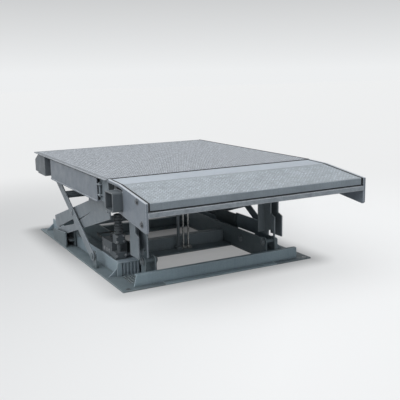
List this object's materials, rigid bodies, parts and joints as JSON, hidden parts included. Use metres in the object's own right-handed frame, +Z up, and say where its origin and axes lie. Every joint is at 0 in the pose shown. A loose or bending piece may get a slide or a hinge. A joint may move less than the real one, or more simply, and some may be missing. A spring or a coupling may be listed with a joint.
{
  "type": "dock leveler",
  "caption": "Scissor-lift dock leveler: tread-plate deck on crossed arms over a floor frame, with a hinged swing lip between cheeks and support legs.",
  "frame": {"origin": "on the floor, at the middle of the width, straight below the lip hinge", "axes": "+X to the right seen from the lip, +Y from the lip to the rear of the deck, +Z up"},
  "size_m": [2.132, 3.127, 0.9112],
  "materials": {
    "tread_paint": "satin, worn tread",
    "frame_paint": "satin",
    "under_paint": "satin, dark",
    "roller_steel": "turned",
    "rod_chrome": "ground and plated"
  },
  "bodies": {
    "base": {"left_sole": "frame_paint", "right_sole": "frame_paint", "outer_webs": "frame_paint", "inner_webs": "frame_paint", "front_sill": "frame_paint", "rear_sill": "frame_paint", "middle_beam": "under_paint", "left_rear_bracket": "frame_paint", "right_rear_bracket": "frame_paint", "left_foot_stand": "frame_paint", "right_foot_stand": "frame_paint", "front_pivots": "frame_paint", "oil_tank": "frame_paint", "pump_motor": "under_paint", "valve_block": "under_paint", "ram_rods": "rod_chrome", "guide_post": "under_paint"},
    "lift_arms": {"left_lift_arm": "frame_paint", "right_lift_arm": "frame_paint", "arm_tie_tube": "under_paint", "lower_rollers": "roller_steel"},
    "cross_bars": {"left_cross_bar": "frame_paint", "right_cross_bar": "frame_paint", "bar_tie_tube": "under_paint", "upper_rollers": "roller_steel"},
    "platform": {"deck_plate": "tread_paint", "left_skirt": "frame_paint", "right_skirt": "frame_paint", "rear_blocks": "frame_paint", "rear_beam": "under_paint", "deck_stringers": "under_paint", "front_header": "under_paint", "header_plates": "frame_paint", "left_leg": "frame_paint", "right_leg": "frame_paint", "upper_tracks": "under_paint", "deck_lugs": "under_paint", "deck_knuckles": "frame_paint", "ram_barrels": "under_paint"},
    "lip": {"lip_plate": "tread_paint", "lip_knuckles": "frame_paint", "lip_ribs": "under_paint", "lip_outriggers": "under_paint", "nose_bar": "frame_paint", "left_cheek": "frame_paint", "right_cheek": "frame_paint", "left_side_box": "frame_paint", "right_side_box": "frame_paint"}
  },
  "joints": [
    {"name": "lift", "type": "hinge", "parent": "base", "child": "cross_bars", "pos_m": [0, 0.63447, 0.125], "axis": [1, 0, 0], "range_deg": [-3.5, 15]},
    {"name": "arm_crossing", "type": "hinge", "parent": "cross_bars", "child": "lift_arms", "pos_m": [0, 1.156, 0.42368], "axis": [-1, 0, 0], "range_deg": [-7, 30]},
    {"name": "deck_pivot", "type": "hinge", "parent": "lift_arms", "child": "platform", "pos_m": [0, 0.63447, 0.72236], "axis": [1, 0, 0], "range_deg": [-3.5, 15]},
    {"name": "lip_swing", "type": "hinge", "parent": "platform", "child": "lip", "pos_m": [0, 0, 0.89436], "axis": [1, 0, 0], "range_deg": [0, 65]}
  ],
  "couplings": [
    {"joint": "arm_crossing", "follows": "lift", "ratio": 2},
    {"joint": "deck_pivot", "follows": "lift", "ratio": 1}
  ]
}
